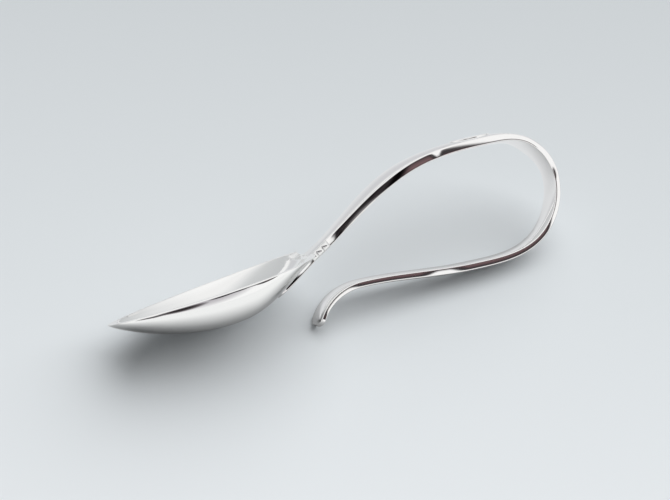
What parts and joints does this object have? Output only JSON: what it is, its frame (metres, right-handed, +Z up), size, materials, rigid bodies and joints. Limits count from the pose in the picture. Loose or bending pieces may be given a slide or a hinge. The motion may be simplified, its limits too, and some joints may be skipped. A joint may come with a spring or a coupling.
{
  "type": "baby spoon",
  "caption": "Polished metal baby spoon with an egg-shaped bowl, a beaded neck and a flat strip handle bent into a closed-hand loop that returns under the neck in a small hook.",
  "frame": {"origin": "on the table, under the middle of the bounding box of the spoon as it lies at rest", "axes": "+X from the bowl's tip towards the loop, +Z up from the table, +Y to the side that the bowl's hollow leans towards"},
  "size_m": [0.1038, 0.0276, 0.025],
  "materials": {
    "polished_bowl": "mirror polish",
    "polished_strip": "mirror polish",
    "beaded_collar": "polish with a little dulling between the beads",
    "flat_plaque": "mirror polish"
  },
  "bodies": {
    "root": {"bowl": "polished_bowl", "handle_loop": "polished_strip", "neck_collar": "beaded_collar", "handle_plaque": "flat_plaque"}
  },
  "joints": []
}
